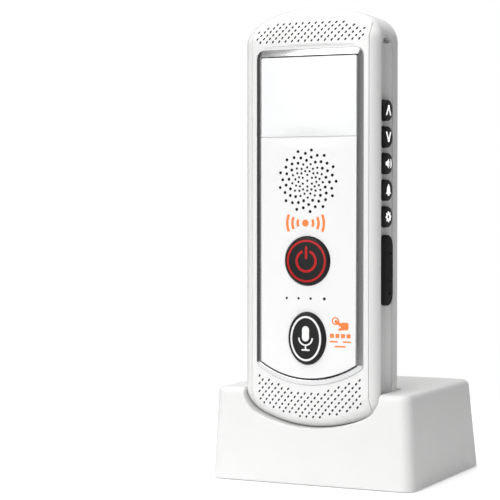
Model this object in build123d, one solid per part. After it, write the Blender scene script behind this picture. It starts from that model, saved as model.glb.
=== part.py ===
from build123d import *
import os
from math import cos, radians, sin, sqrt

# A hand-held pager standing in its desktop charging dock.
# Millimetres. +Z is up, the front faces -Y, and +X is the side with the small buttons.
# The origin is under the middle of the dock, on the surface that it stands on.

# Charging dock
dock_width = 84.0
dock_depth = 78.0
dock_top = 36.0
dock_back = 39.7
dock_front = dock_back - dock_depth
dock_underside = 0.5
dock_corner_radius = 4.5
dock_edge_radius = 2.5
dock_side_draft = 1.8
dock_front_draft = 1.1
dock_back_lean = 5.8
dock_wall = 2.2
base_thickness = 2.0
pocket_gap = 0.4

# Pager handset
handset_height = 160.0
handset_half_width = 28.0
handset_depth = 25.8
handset_bottom = 22.0
handset_top = handset_bottom + handset_height
handset_front = dock_front - 0.6
handset_back = handset_front + handset_depth
end_arc_radius = 55.0
end_corner_radius = 10.0
crown_radius = 240.0
front_edge_radius = 4.5
back_edge_radius = 6.0
handset_wall = 2.2
rail_wall = 3.6

# Front cover, trim ring and panels
cover_half_width = 24.15
cover_back = handset_front + 4.9
panel_back = handset_front + 3.1
panel_proud = 0.75
panel_half_width = 20.0
panel_top = 163.0
panel_bottom = 40.5
panel_arc_radius = 36.3
panel_corner_radius = 1.2
ring_width = 2.1
ring_proud = 0.4
split_height = 132.5
seam_gap = 0.05

# Controls on the front
power_height = 85.6
power_radius = 9.2
talk_height = 56.3
talk_half_width = 7.6
talk_half_height = 9.8
power_proud = 1.85
talk_proud = 2.3
button_gap = 0.2
button_flange = 1.0
button_travel = 0.6
light_height = 71.4
light_places = (-8.6, -3.6, 1.4)
light_radius = 0.5
microphone_place = 7.0

# Speaker
speaker_height = 115.9
speaker_radius = 14.0
hole_ring_count = 7
holes_per_ring = 13
hole_ring_start = 3.7
hole_ring_step = 1.33
hole_ring_turn = 14.85
inner_hole_radius = 0.42
outer_hole_radius = 0.55
small_hole_rings = 3

# Circuit boards
board_front = handset_front + 7.1
board_thickness = 1.6
board_back = board_front + board_thickness
board_half_width = 20.5
board_bottom = 44.0
board_top = 162.0

# Controls on the side
channel_centre = handset_front + 10.2
channel_width = 11.2
channel_floor = 26.4
channel_top = 170.5
channel_bottom = 31.0
side_button_radius = 4.0
side_button_face = 28.7
side_button_pitch = 10.0
side_button_first = 142.3
side_button_travel = 0.5
side_wall_inside = handset_half_width - rail_wall
lanyard_y = channel_centre + 1.5
lanyard_height = 168.7
side_button_names = ("scroll_up", "scroll_down", "volume", "alert_tone", "settings")

# Charging socket and its rubber cover
port_height = 76.8
port_width = 9.0
port_thickness = 3.2
flap_bottom = 68.8
flap_top = 84.5
anchor_bottom = 84.75
anchor_top = 95.5
cover_strip_face = 28.7
cover_strip_half = 4.6
cover_notch = 2.2

# Charging contacts between dock and handset
contact_spacing = 12.0
contact_y = handset_front + 15.0
contact_face = 23.2
pin_radius = 1.0
pin_rest_gap = 0.06


def front_plane(y):
    """A plane facing the front at depth y, with sketch x along X and sketch y along Z."""
    return Plane.XZ.offset(-y)


def prism(sketch, y_front, y_back):
    """A solid with the sketch's outline between two depths."""
    return extrude(front_plane(y_back) * sketch, amount=y_back - y_front)


def side_prism(sketch, x_inner, x_outer):
    """A solid with the sketch's outline between two distances from the middle."""
    return extrude(Plane.YZ.offset(x_inner) * sketch, amount=x_outer - x_inner)


def block(x_span, y_span, z_span):
    centre = [sum(span) / 2 for span in (x_span, y_span, z_span)]
    lengths = [span[1] - span[0] for span in (x_span, y_span, z_span)]
    return Pos(*centre) * Box(*lengths)


def rod_y(x, z, radius, y_front, y_back):
    return prism(Pos(x, z) * Circle(radius), y_front, y_back)


def rod_x(y, z, radius, x_inner, x_outer):
    return side_prism(Pos(y, z) * Circle(radius), x_inner, x_outer)


def rod_z(x, y, radius, z_low, z_high):
    return Pos(x, y, (z_low + z_high) / 2) * Cylinder(radius, z_high - z_low)


def arc_drop(radius, half_chord):
    return radius - sqrt(radius**2 - half_chord**2)


def handset_outline(grow=0.0):
    """The handset seen from the front: straight sides, arched ends, rounded corners."""
    half = handset_half_width + grow
    low = handset_bottom - grow
    high = handset_top + grow
    drop = arc_drop(end_arc_radius + grow, half)
    edges = [
        Line((-half, low + drop), (-half, high - drop)),
        ThreePointArc((-half, high - drop), (0, high), (half, high - drop)),
        Line((half, high - drop), (half, low + drop)),
        ThreePointArc((half, low + drop), (0, low), (-half, low + drop)),
    ]
    face = make_face(edges)
    return fillet(face.vertices(), end_corner_radius + grow)


def panel_outline(grow=0.0, low=None, high=None):
    """The front panel's outline: flat top, straight sides, arched bottom."""
    half = panel_half_width + grow
    top = panel_top + grow
    bottom = panel_bottom - grow
    drop = arc_drop(panel_arc_radius + grow, half)
    edges = [
        Line((-half, bottom + drop), (-half, top)),
        Line((-half, top), (half, top)),
        Line((half, top), (half, bottom + drop)),
        ThreePointArc((half, bottom + drop), (0, bottom), (-half, bottom + drop)),
    ]
    face = fillet(make_face(edges).vertices(), panel_corner_radius + max(grow, 0))
    low = bottom if low is None else low
    high = top if high is None else high
    return face & Pos(0, (low + high) / 2) * Rectangle(2 * half, high - low)


def crown(depth=0.0):
    """Everything behind the crowned front surface, lowered by depth."""
    middle = (handset_bottom + handset_top) / 2
    return Pos(0, handset_front + depth + crown_radius, middle) * Cylinder(crown_radius, 2 * handset_height)


def handset_body():
    """The whole handset's outer shape as one solid."""
    body = prism(handset_outline(), handset_front - 1, handset_back) & crown()
    body = fillet(body.faces().sort_by(Axis.Y)[-1].edges(), back_edge_radius)
    return fillet(body.faces().sort_by(Axis.Y)[0].edges(), front_edge_radius)


def speaker_holes():
    """Holes on rings that each turn a little further than the last."""
    spots = [(0, 0, inner_hole_radius)]
    for step in range(6):
        angle = radians(30 + 60 * step)
        spots.append((2.2 * cos(angle), 2.2 * sin(angle), inner_hole_radius))
    for ring in range(hole_ring_count):
        radius = hole_ring_start + hole_ring_step * ring
        size = inner_hole_radius if ring < small_hole_rings else outer_hole_radius
        for step in range(holes_per_ring):
            angle = radians(20.3 + hole_ring_turn * ring + 360 * step / holes_per_ring)
            spots.append((radius * cos(angle), radius * sin(angle), size))
    return [
        rod_y(x, speaker_height + z, size, handset_front - 1, panel_back + 1)
        for x, z, size in spots
    ]


def talk_ellipse(grow=0.0):
    return Pos(0, talk_height) * Ellipse(talk_half_width + grow, talk_half_height + grow)


def power_circle(grow=0.0):
    return Pos(0, power_height) * Circle(power_radius + grow)


def screw_places():
    return [(x, z) for x in (-18, 18) for z in (36.0, 169.2)]


# Handset: front pieces

def front_cover(body):
    inside = handset_front - 2
    slab = block((-cover_half_width, cover_half_width), (inside, cover_back), (0, 200))
    cover = body & slab
    cover -= prism(panel_outline(ring_width), inside, panel_back)
    hollow_front = handset_front + 2.4
    for span in ((167.6, 200), (0, 37.4)):
        end = block((-22.2, 22.2), (hollow_front, cover_back + 1), span)
        cover -= end & prism(handset_outline(-2.0), hollow_front, cover_back + 1)
    for x, z in screw_places():
        cover += rod_y(x, z, 2.6, hollow_front - 0.2, handset_back - 11)
    for x, z in screw_places():
        cover -= rod_y(x, z, 1.03, hollow_front + 0.8, handset_back)
    cover -= block((-17.8, 17.8), (inside, cover_back + 1), (134.0, 162.6))
    cover -= rod_y(0, speaker_height, 12.6, inside, cover_back + 1)
    cover -= prism(power_circle(button_flange + 0.5), inside, cover_back + 1)
    cover -= prism(talk_ellipse(button_flange + 0.5), inside, cover_back + 1)
    cover -= rod_y(microphone_place, light_height, 2.6, inside, cover_back + 1)
    for x in light_places:
        cover -= rod_y(x, light_height, 0.8, inside, cover_back + 1)
    return cover


def trim_ring():
    ring = panel_outline(ring_width - seam_gap) - panel_outline(0)
    return prism(ring, handset_front - 1, panel_back) & crown(-ring_proud)


def panel_piece(low, high):
    outline = panel_outline(-seam_gap, low, high)
    return prism(outline, handset_front - 1, panel_back) & crown(-panel_proud)


def face_panel():
    panel = panel_piece(None, split_height - seam_gap)
    panel -= speaker_holes()
    panel -= prism(power_circle(button_gap), handset_front - 2, panel_back + 1)
    panel -= prism(talk_ellipse(button_gap), handset_front - 2, panel_back + 1)
    for x in light_places:
        panel -= rod_y(x, light_height, light_radius, handset_front - 1, panel_back + 1)
    panel -= rod_y(microphone_place, light_height, 0.6, handset_front - 1, panel_back + 1)
    return panel


def display_lens():
    return panel_piece(split_height + seam_gap, None)


def display_module():
    glass = block((-17.5, 17.5), (panel_back + 0.1, cover_back + 0.1), (134.3, 162.3))
    return glass


def display_frame():
    frame_front = cover_back + 0.15
    outer = block((-19.5, 19.5), (frame_front, frame_front + 1.6), (131.8, 164.6))
    return outer - block((-16.5, 16.5), (frame_front - 1, frame_front + 0.9), (135.3, 161.3))


# Handset: speaker

def speaker_mesh():
    return rod_y(0, speaker_height, 12.4, panel_back + 0.05, panel_back + 0.25)


def speaker_gasket():
    ring = Circle(12.4) - Circle(11.0)
    return prism(Pos(0, speaker_height) * ring, panel_back + 0.3, cover_back + 0.05)


def speaker_basket():
    front = cover_back + 0.1
    place = Pos(0, speaker_height)
    flange = prism(place * (Circle(speaker_radius) - Circle(12.0)), front, front + 1.2)
    cup = prism(place * (Circle(12.8) - Circle(12.0)), front, front + 4.4)
    floor = prism(place * (Circle(12.8) - Circle(5.2)), front + 3.6, front + 4.4)
    return flange + cup + floor


def speaker_cone():
    front = cover_back + 0.3
    place = front_plane(front) * Pos(0, speaker_height)
    outer = loft([place * Circle(11.8), Pos(0, 3.0, 0) * (place * Circle(5.0))], ruled=True)
    inner = loft([place * Circle(11.3), Pos(0, 2.6, 0) * (place * Circle(4.5))], ruled=True)
    return outer - inner


def speaker_magnet():
    front = cover_back + 4.5
    return rod_y(0, speaker_height, 10.0, front, front + 3.2)


# Handset: electronics

def main_board():
    board = block(
        (-board_half_width, board_half_width), (board_front, board_back), (board_bottom, board_top)
    )
    return board - rod_y(0, speaker_height, 13.2, board_front - 1, board_back + 1)


def front_switch(height):
    body_front = board_front - 0.8
    body = block((-3, 3), (body_front, board_front), (height - 3, height + 3))
    return body + rod_y(0, height, 1.25, body_front - 0.3, board_front)


def status_lamps():
    lamps = [
        block((x - 0.8, x + 0.8), (board_front - 0.6, board_front), (light_height - 0.4, light_height + 0.4))
        for x in light_places
    ]
    return Compound(lamps)


def light_pipes():
    front = handset_front - panel_proud + 0.3
    pipes = [rod_y(x, light_height, light_radius - 0.05, front, board_front - 0.8) for x in light_places]
    return Compound(pipes)


def microphone():
    return rod_y(microphone_place, light_height, 2.4, board_front - 1.5, board_front)


def microphone_boot():
    tube = Pos(microphone_place, light_height) * (Circle(2.5) - Circle(0.7))
    return prism(tube, panel_back + 0.1, board_front - 1.55)


def radio_module():
    can = block((-9, 9), (board_back, board_back + 2.4), (134, 150))
    return can - block((-8.7, 8.7), (board_back - 1, board_back + 2.1), (134.3, 149.7))


def antenna():
    return block((-17, 17), (handset_back - handset_wall - 0.4, handset_back - handset_wall), (150, 162))


def battery():
    cell = block((-20, 16), (board_back + 0.6, board_back + 8.2), (42.5, 98.5))
    return fillet(cell.edges().filter_by(Axis.Z), 1.5)


def battery_pad():
    return block((-16, 12), (board_back + 8.25, handset_back - handset_wall), (50, 92))


def motor_axis():
    return board_back + 4.6, 155.0


def vibration_motor():
    y, z = motor_axis()
    can = rod_x(y, z, 3.0, -15, -4) + rod_x(y, z, 0.5, -4, 2.2)
    return can


def motor_cradle():
    y, z = motor_axis()
    cradle = block((-13.5, -5.5), (board_back, y), (z - 4.2, z + 4.2))
    return cradle - rod_x(y, z, 3.03, -14, -5)


def vibration_weight():
    y, z = motor_axis()
    half_disc = Circle(3.2) - Pos(0, 2.2) * Rectangle(8, 3.2)
    weight = side_prism(Pos(y, z) * half_disc, -2.5, 1.5)
    return weight - rod_x(y, z, 0.54, -3, 2)


def side_button_heights():
    return [side_button_first - side_button_pitch * step for step in range(len(side_button_names))]


def side_board():
    heights = side_button_heights()
    y = channel_centre + 0.2
    return block((20.8, 21.6), (y - 3.6, y + 4.2), (heights[-1] - 5, heights[0] + 5))


def side_switches():
    y = channel_centre + 0.2
    bodies = []
    for height in side_button_heights():
        body = block((21.6, 22.5), (y - 2.2, y + 2.2), (height - 2.2, height + 2.2))
        bodies.append(body + rod_x(y, height, 1.2, 21.6, 22.85))
    return Compound(bodies)


def charging_socket():
    y = board_back + port_thickness / 2
    outer = Pos(y, port_height) * RectangleRounded(port_thickness, port_width, 1.5)
    inner = Pos(y, port_height) * RectangleRounded(port_thickness - 0.6, port_width - 0.6, 1.2)
    tongue = block((19.6, 24.4), (y - 0.35, y + 0.35), (port_height - 3.3, port_height + 3.3))
    return side_prism(outer, 19.0, 25.6) - side_prism(inner, 19.6, 26) + tongue


def charging_contacts():
    pads = [
        block((x - 2, x + 2), (contact_y - 2, contact_y + 2), (contact_face, contact_face + 2.6))
        for x in (-contact_spacing / 2, contact_spacing / 2)
    ]
    return Compound(pads)


def housing_screws():
    screws = []
    for x, z in screw_places():
        head = rod_y(x, z, 1.9, handset_back - 1.9, handset_back - 0.5)
        screws.append(head + rod_y(x, z, 1.0, handset_front + 6, handset_back - 1.0))
    return Compound(screws)


def lanyard_bar():
    return rod_z(25.4, lanyard_y, 0.6, 166.1, 171.3)


# Handset: rear housing

def rear_housing(body):
    housing = body
    opening_half = cover_half_width + seam_gap
    housing -= block((-opening_half, opening_half), (handset_front - 2, cover_back + seam_gap), (0, 200))
    deep = handset_front + 16.3
    housing -= prism(handset_outline(-rail_wall), cover_back - 1, deep)
    housing -= prism(handset_outline(-handset_wall), deep - 0.01, handset_back - handset_wall)
    for x, z in screw_places():
        housing += rod_y(x, z, 3.2, handset_back - 10.9, handset_back - 1)
    housing += block((20.6, 25.0), (cover_back + 0.2, lanyard_y + 3.6), (165.0, 172.4))

    slot = Pos(channel_centre, (channel_top + channel_bottom) / 2)
    slot *= RectangleRounded(channel_width, channel_top - channel_bottom, channel_width / 2 - 0.01)
    housing -= side_prism(slot, channel_floor, 30)
    lanyard_slot = Pos(lanyard_y, lanyard_height) * RectangleRounded(4.6, 2.4, 1.1)
    housing -= side_prism(lanyard_slot, 22.4, 27)
    housing -= rod_z(25.4, lanyard_y, 0.62, 166.0, 171.4)

    for height in side_button_heights():
        housing -= rod_x(channel_centre + 0.2, height, side_button_radius + button_gap, 20, 30)
    mouth = Pos(board_back + port_thickness / 2, port_height)
    mouth *= RectangleRounded(port_thickness + 0.6, port_width + 0.6, 1.7)
    housing -= side_prism(mouth, 22, 30)
    for height in anchor_pegs():
        housing -= rod_x(channel_centre + 0.2, height, 1.05, 22, 30)

    for x, z in screw_places():
        housing -= rod_y(x, z, 1.2, handset_back - 12, handset_back + 1)
        housing -= rod_y(x, z, 2.1, handset_back - 1.9, handset_back + 1)
    for x in (-contact_spacing / 2, contact_spacing / 2):
        housing -= block((x - 2.05, x + 2.05), (contact_y - 2.05, contact_y + 2.05), (20, 28))
    return housing


# Handset: moving pieces

def front_button(outline, proud):
    """A cap with a flange that holds it behind the panel and a stem over its switch."""
    cap_front = handset_front - proud
    cap = prism(outline(), cap_front, panel_back + 0.1)
    cap = fillet(cap.faces().sort_by(Axis.Y)[0].edges(), 0.7)
    flange = prism(outline(button_flange), panel_back + 0.1, panel_back + 0.9)
    return cap + flange


def button_with_stem(outline, height, proud):
    stem_end = board_front - 1.1 - button_travel - 0.1
    return front_button(outline, proud) + rod_y(0, height, 2.0, panel_back + 0.5, stem_end)


def side_button(height):
    y = channel_centre + 0.2
    cap = rod_x(y, height, side_button_radius, side_wall_inside - 0.1, side_button_face)
    cap = fillet(cap.faces().sort_by(Axis.X)[-1].edges(), 0.5)
    flange_inner = side_wall_inside - 0.9
    return cap + rod_x(y, height, side_button_radius + 0.7, flange_inner, side_wall_inside - 0.1)


def anchor_pegs():
    middle = (anchor_bottom + anchor_top) / 2
    return [middle - 2.1, middle + 2.1]


def rounded_strip(low, high, round_low, round_high):
    """A strip of the channel cover, with a half-round end where asked."""
    radius = cover_strip_half
    y = channel_centre + 0.2
    strip_low = low + radius if round_low else low
    strip_high = high - radius if round_high else high
    strip = Pos(y, (strip_low + strip_high) / 2) * Rectangle(2 * radius, strip_high - strip_low)
    if round_low:
        strip += Pos(y, strip_low) * Circle(radius)
    if round_high:
        strip += Pos(y, strip_high) * Circle(radius)
    return strip


def socket_cover_anchor():
    outline = rounded_strip(anchor_bottom, anchor_top, False, True)
    anchor = side_prism(outline, channel_floor + 0.05, cover_strip_face)
    for height in anchor_pegs():
        anchor += rod_x(channel_centre + 0.2, height, 1.0, 24.0, 27.5)
    return anchor


def socket_cover():
    outline = rounded_strip(flap_bottom, flap_top, True, False)
    flap = side_prism(outline, channel_floor + 0.05, cover_strip_face)
    plug = Pos(board_back + port_thickness / 2, port_height)
    plug *= RectangleRounded(port_thickness - 0.2, port_width - 0.2, 1.3)
    flap += side_prism(plug, 25.75, 27.0)
    corner = Pos(cover_strip_face, channel_centre + 0.2 + cover_strip_half, flap_bottom + 0.6)
    return flap - corner * Rotation(45, 0, 0) * Box(9, 2 * cover_notch, 2 * cover_notch)


# Dock

def dock_section(z, inset):
    """The dock's outline at height z, moved in by inset."""
    rise = (z - dock_underside) / (dock_top - dock_underside)
    width = dock_width - 2 * dock_side_draft * rise - 2 * inset
    front = dock_front + dock_front_draft * rise + inset
    back = dock_back - dock_back_lean * rise - inset
    outline = RectangleRounded(width, back - front, dock_corner_radius - inset)
    return Pos(0, (front + back) / 2, z) * outline


def dock_screw_places():
    return [(-35.6, -30.6), (35.6, -30.6), (-34.0, 27.0), (34.0, 27.0)]


def foot_places():
    return [(x, y) for x in (-25, 25) for y in (-28, 29)]


def inlet_centre():
    return 9.2


def dock_shell():
    outer = loft([dock_section(dock_underside, 0), dock_section(dock_top, 0)], ruled=True)
    shell = fillet(outer.faces().sort_by(Axis.Z)[-1].edges(), dock_edge_radius)
    room_top = dock_top - dock_wall
    room = loft([dock_section(dock_underside - 1, dock_wall), dock_section(room_top, dock_wall)], ruled=True)
    liner = prism(handset_outline(pocket_gap + 2.0), dock_front - 5, handset_back + pocket_gap + 2.0)
    pad = block((-14, 14), (contact_y - 7, contact_y + 7), (17.5, 23))
    shell -= room - (liner + pad)
    for x, y in dock_screw_places():
        shell += rod_z(x, y, 3.0, dock_underside + base_thickness, room_top + 0.5)
    shell -= prism(handset_outline(pocket_gap), dock_front - 5, handset_back + pocket_gap)
    for x, y in dock_screw_places():
        shell -= rod_z(x, y, 1.23, 0, 14)
    for x in (-contact_spacing / 2, contact_spacing / 2):
        shell -= rod_z(x, contact_y, pin_radius + 0.05, 15, 30)
    inlet = Pos(0, inlet_centre()) * RectangleRounded(port_width + 0.6, port_thickness + 0.6, 1.7)
    return shell - prism(inlet, dock_back - 8, dock_back + 1)


def dock_base():
    inset = dock_wall + 0.2
    top = dock_underside + base_thickness
    base = loft([dock_section(dock_underside, inset), dock_section(top, inset)], ruled=True)
    for x, y in dock_screw_places():
        base -= rod_z(x, y, 1.4, 0, 5)
        base -= rod_z(x, y, 2.5, 0, dock_underside + 1.2)
    for x, y in foot_places():
        base -= rod_z(x, y, 4.6, 0, dock_underside + 0.8)
    for x, y in board_posts():
        base += rod_z(x, y, 2.4, dock_underside + base_thickness - 0.5, 6.0)
        base += rod_z(x, y, 0.9, 5.0, 8.4)
    return base


def board_posts():
    return [(x, y) for x in (-21, 21) for y in (8, 30)]


def dock_board():
    board = block((-24.5, 24.5), (4.5, 34.0), (6.0, 7.6))
    for x, y in board_posts():
        board -= rod_z(x, y, 0.95, 5, 9)
    return board


def dock_inlet():
    z = inlet_centre()
    outer = Pos(0, z) * RectangleRounded(port_width, port_thickness, 1.5)
    inner = Pos(0, z) * RectangleRounded(port_width - 0.6, port_thickness - 0.6, 1.2)
    tongue = block((-3.3, 3.3), (30.4, 35.4), (z - 0.35, z + 0.35))
    return prism(outer, 29.8, 36.6) - prism(inner, 30.4, 38) + tongue


def dock_screws():
    screws = []
    for x, y in dock_screw_places():
        head = rod_z(x, y, 2.2, dock_underside + 0.1, dock_underside + 1.2)
        screws.append(head + rod_z(x, y, 1.2, dock_underside + 0.5, 12))
    return Compound(screws)


def rubber_feet():
    feet = []
    for x, y in foot_places():
        foot = rod_z(x, y, 4.5, 0, dock_underside + 0.8)
        feet.append(fillet(foot.faces().sort_by(Axis.Z)[0].edges(), 0.25))
    return Compound(feet)


def ballast_plate():
    return block((-28, 28), (-34, -6), (dock_underside + base_thickness + 0.05, 6.6))


def contact_carrier():
    carrier = block((-11, 11), (contact_y - 5, contact_y + 5), (9.0, 17.45))
    for x in (-contact_spacing / 2, contact_spacing / 2):
        carrier -= rod_z(x, contact_y, 1.75, 10.0, 18)
    return carrier


def pin_sleeves():
    sleeves = []
    for x in (-contact_spacing / 2, contact_spacing / 2):
        sleeve = rod_z(x, contact_y, 1.7, 10.05, 17.4)
        sleeves.append(sleeve - rod_z(x, contact_y, 1.35, 10.6, 16.8) - rod_z(x, contact_y, 1.05, 16, 18))
    return Compound(sleeves)


def charging_pin(x):
    tip = contact_face - pin_rest_gap
    pin = rod_z(x, contact_y, pin_radius, 13.0, tip)
    pin = fillet(pin.faces().sort_by(Axis.Z)[-1].edges(), 0.6)
    return pin + rod_z(x, contact_y, 1.3, 13.0, 14.6)


def save(name, shape):
    shape.label = name
    export_step(shape, f"parts/{name}.step")


def main():
    os.makedirs("parts", exist_ok=True)
    body = handset_body()
    pieces = {
        "front_cover": front_cover(body),
        "rear_housing": rear_housing(body),
        "trim_ring": trim_ring(),
        "face_panel": face_panel(),
        "display_lens": display_lens(),
        "display_module": display_module(),
        "display_frame": display_frame(),
        "speaker_mesh": speaker_mesh(),
        "speaker_gasket": speaker_gasket(),
        "speaker_basket": speaker_basket(),
        "speaker_cone": speaker_cone(),
        "speaker_magnet": speaker_magnet(),
        "main_board": main_board(),
        "power_switch": front_switch(power_height),
        "talk_switch": front_switch(talk_height),
        "status_lamps": status_lamps(),
        "light_pipes": light_pipes(),
        "microphone": microphone(),
        "microphone_boot": microphone_boot(),
        "radio_module": radio_module(),
        "antenna": antenna(),
        "battery": battery(),
        "battery_pad": battery_pad(),
        "vibration_motor": vibration_motor(),
        "motor_cradle": motor_cradle(),
        "vibration_weight": vibration_weight(),
        "side_board": side_board(),
        "side_switches": side_switches(),
        "charging_socket": charging_socket(),
        "charging_contacts": charging_contacts(),
        "housing_screws": housing_screws(),
        "lanyard_bar": lanyard_bar(),
        "socket_cover_anchor": socket_cover_anchor(),
        "socket_cover": socket_cover(),
        "power_button": button_with_stem(power_circle, power_height, power_proud),
        "talk_button": button_with_stem(talk_ellipse, talk_height, talk_proud),
        "dock_shell": dock_shell(),
        "dock_base": dock_base(),
        "dock_board": dock_board(),
        "dock_inlet": dock_inlet(),
        "dock_screws": dock_screws(),
        "rubber_feet": rubber_feet(),
        "ballast_plate": ballast_plate(),
        "contact_carrier": contact_carrier(),
        "pin_sleeves": pin_sleeves(),
        "charging_pin_left": charging_pin(-contact_spacing / 2),
        "charging_pin_right": charging_pin(contact_spacing / 2),
    }
    for name, height in zip(side_button_names, side_button_heights()):
        pieces[f"{name}_button"] = side_button(height)
    for name, shape in pieces.items():
        save(name, shape)


main()
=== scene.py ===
from math import atan2, cos, degrees, pi, radians, sin, sqrt

import bmesh
import bpy
import numpy as np
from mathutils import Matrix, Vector, geometry, interpolate
from mathutils.bvhtree import BVHTree


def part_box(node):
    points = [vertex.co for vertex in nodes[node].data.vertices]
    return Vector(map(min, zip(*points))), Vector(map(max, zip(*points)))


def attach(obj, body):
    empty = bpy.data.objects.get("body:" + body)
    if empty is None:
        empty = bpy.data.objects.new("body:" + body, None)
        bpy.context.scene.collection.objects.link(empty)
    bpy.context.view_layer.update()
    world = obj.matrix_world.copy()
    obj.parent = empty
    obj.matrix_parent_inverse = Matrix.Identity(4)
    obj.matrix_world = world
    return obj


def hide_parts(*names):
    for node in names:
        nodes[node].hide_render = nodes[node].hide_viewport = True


# A hand-held pager standing in its charging dock. Lengths are millimetres until an object
# is made. +Z is up, the front faces -Y, and +X is the side with the small keys.

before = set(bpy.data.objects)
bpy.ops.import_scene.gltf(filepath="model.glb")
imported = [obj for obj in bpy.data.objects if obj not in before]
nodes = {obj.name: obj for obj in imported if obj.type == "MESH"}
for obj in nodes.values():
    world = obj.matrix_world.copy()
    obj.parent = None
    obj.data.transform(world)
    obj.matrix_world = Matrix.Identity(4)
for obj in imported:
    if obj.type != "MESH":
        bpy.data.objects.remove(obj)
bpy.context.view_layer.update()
MM = 0.001
scene = bpy.context.scene


def span(node):
    """A CAD node's low and high corner in millimetres."""
    low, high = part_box(node)
    return np.array(low) / MM, np.array(high) / MM


def middle(node):
    low, high = span(node)
    return (low + high) / 2


def half_size(node):
    low, high = span(node)
    return (high - low) / 2


# Driving dimensions, from the frame where it holds them
housing_low, housing_high = span("rear_housing")
cover_low, cover_high = span("front_cover")
panel_low, panel_high = span("face_panel")
lens_low, lens_high = span("display_lens")
dock_low, dock_high = span("dock_shell")

half_width = housing_high[0]
bottom, top = housing_low[2], housing_high[2]
centre_height = (bottom + top) / 2
half_height = (top - bottom) / 2
front, back = cover_low[1], housing_high[1]
end_radius = 55.0
corner_radius = 10.0
crown_radius = 240.0
side_round = 4.5
end_round_height = 12.0
end_round_depth = 7.5
back_round = 6.0
wall = 2.2
rail_wall = 3.6

cover_half = cover_high[0]
seam_half = cover_half + 0.05
seam_round = 0.22
cover_back = front + 4.9
end_cover_back = front + end_round_depth
panel_back = panel_high[1]
panel_half = panel_high[0] + 0.05
panel_bottom = panel_low[2] - 0.05
panel_top = lens_high[2] + 0.05
panel_arc_radius = 36.3
panel_corner = 0.6
panel_gap = 0.34
ring_width = half_size("trim_ring")[0] - panel_half

speaker_height = middle("speaker_mesh")[2]
lamp_height = middle("status_lamps")[2]

side_key_names = ("scroll_up", "scroll_down", "volume", "alert_tone", "settings")
side_key_y = middle("volume_button")[1]
channel_centre = front + 10.2
channel_half = 5.6
channel_floor = 26.4
channel_top = 170.5
channel_bottom = 31.0
strip_half = 4.6
clear_x = half_width + 2.0

front_flange, side_flange = 1.0, 0.7
key_round, key_crown, key_crown_reach = 1.1, 0.25, 6.0
side_key_round, strip_round = 0.8, 0.7
ink_height, panel_ink_height = 0.05, 0.03
contact_x, contact_y = 6.0, middle("charging_contacts")[1]
contact_pad_half = 2.05
screw_x, screw_heights = 18, (36.0, 169.2)
screw_well_radius, screw_well_depth = 2.1, 1.9
port_short, port_long, port_round = 1.9, 4.8, 1.7
plug_gap = 0.4
key_hole_floor, port_floor, lanyard_floor = 20.0, 22.0, 22.4
cover_step_start, cover_step_length = 71.0, 4.0


# Outlines. Each is a pair: points, and the outward direction at each point.

def outline_of_arcs(arcs, step=1.0):
    """A closed outline of arcs joined by straight runs, anticlockwise. An arc is
    its centre, its radius and the angles it runs between."""
    points, outward = [], []
    for u, v, radius, start, end in arcs:
        turns = max(3, round(radius * radians(end - start) / step))
        for angle in np.radians(np.linspace(start, end, turns + 1)):
            direction = (cos(angle), sin(angle))
            points.append((u + radius * direction[0], v + radius * direction[1]))
            outward.append(direction)
    return np.array(points), np.array(outward)


def grown(outline, amount):
    return outline[0] + amount * outline[1]


def circle(u, v, radius, count=48):
    return ellipse(u, v, radius, radius, count)


def ellipse(u, v, half_u, half_v, count=64):
    angles = np.radians(np.arange(count) * 360 / count)
    points = np.stack([half_u * np.cos(angles), half_v * np.sin(angles)], axis=1)
    outward = np.stack([np.cos(angles) / half_u, np.sin(angles) / half_v], axis=1)
    outward /= np.linalg.norm(outward, axis=1)[:, None]
    return np.array([u, v]) + points, outward


def rounded_box(low_u, high_u, low_v, high_v, radius, top_radius=None, step=0.25):
    over = radius if top_radius is None else top_radius
    corners = [
        (high_u - over, high_v - over, over, 0),
        (low_u + over, high_v - over, over, 90),
        (low_u + radius, low_v + radius, radius, 180),
        (high_u - radius, low_v + radius, radius, 270),
    ]
    return outline_of_arcs([(u, v, r, a, a + 90) for u, v, r, a in corners], step)


def box_around(u, v, half_u, half_v, radius):
    return rounded_box(u - half_u, u + half_u, v - half_v, v + half_v, radius)


def capsule(start, end, radius, step=0.3):
    """A bar with round ends between two points."""
    along = degrees(atan2(end[1] - start[1], end[0] - start[0]))
    ends = [(*end, radius, along - 90, along + 90), (*start, radius, along + 90, along + 270)]
    return outline_of_arcs(ends, step)


def end_corner():
    """Where the handset's corner arcs are centred, as x and height above the middle."""
    x = half_width - corner_radius
    arc_height = half_height - end_radius
    return x, arc_height + sqrt((end_radius - corner_radius) ** 2 - x**2), arc_height


def handset_outline(step=1.0):
    x, corner_height, arc_height = end_corner()
    up, down = centre_height + corner_height, centre_height - corner_height
    slant = degrees(atan2(corner_height - arc_height, x))
    return outline_of_arcs([
        (x, up, corner_radius, 0, slant),
        (0, centre_height + arc_height, end_radius, slant, 180 - slant),
        (-x, up, corner_radius, 180 - slant, 180),
        (-x, down, corner_radius, 180, 180 + slant),
        (0, centre_height - arc_height, end_radius, 180 + slant, 360 - slant),
        (x, down, corner_radius, 360 - slant, 360),
    ], step)


def panel_outline(high, corner, step=0.6):
    """The front panel up to a height: straight top and sides, arched bottom."""
    x = panel_half - panel_corner
    rise = sqrt((panel_arc_radius - panel_corner) ** 2 - x**2)
    slant = degrees(atan2(rise, x))
    arc_centre = panel_bottom + panel_arc_radius
    return outline_of_arcs([
        (panel_half - corner, high - corner, corner, 0, 90),
        (corner - panel_half, high - corner, corner, 90, 180),
        (-x, arc_centre - rise, panel_corner, 180, 180 + slant),
        (0, arc_centre, panel_arc_radius, 180 + slant, 360 - slant),
        (x, arc_centre - rise, panel_corner, 360 - slant, 360),
    ], step)


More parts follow.
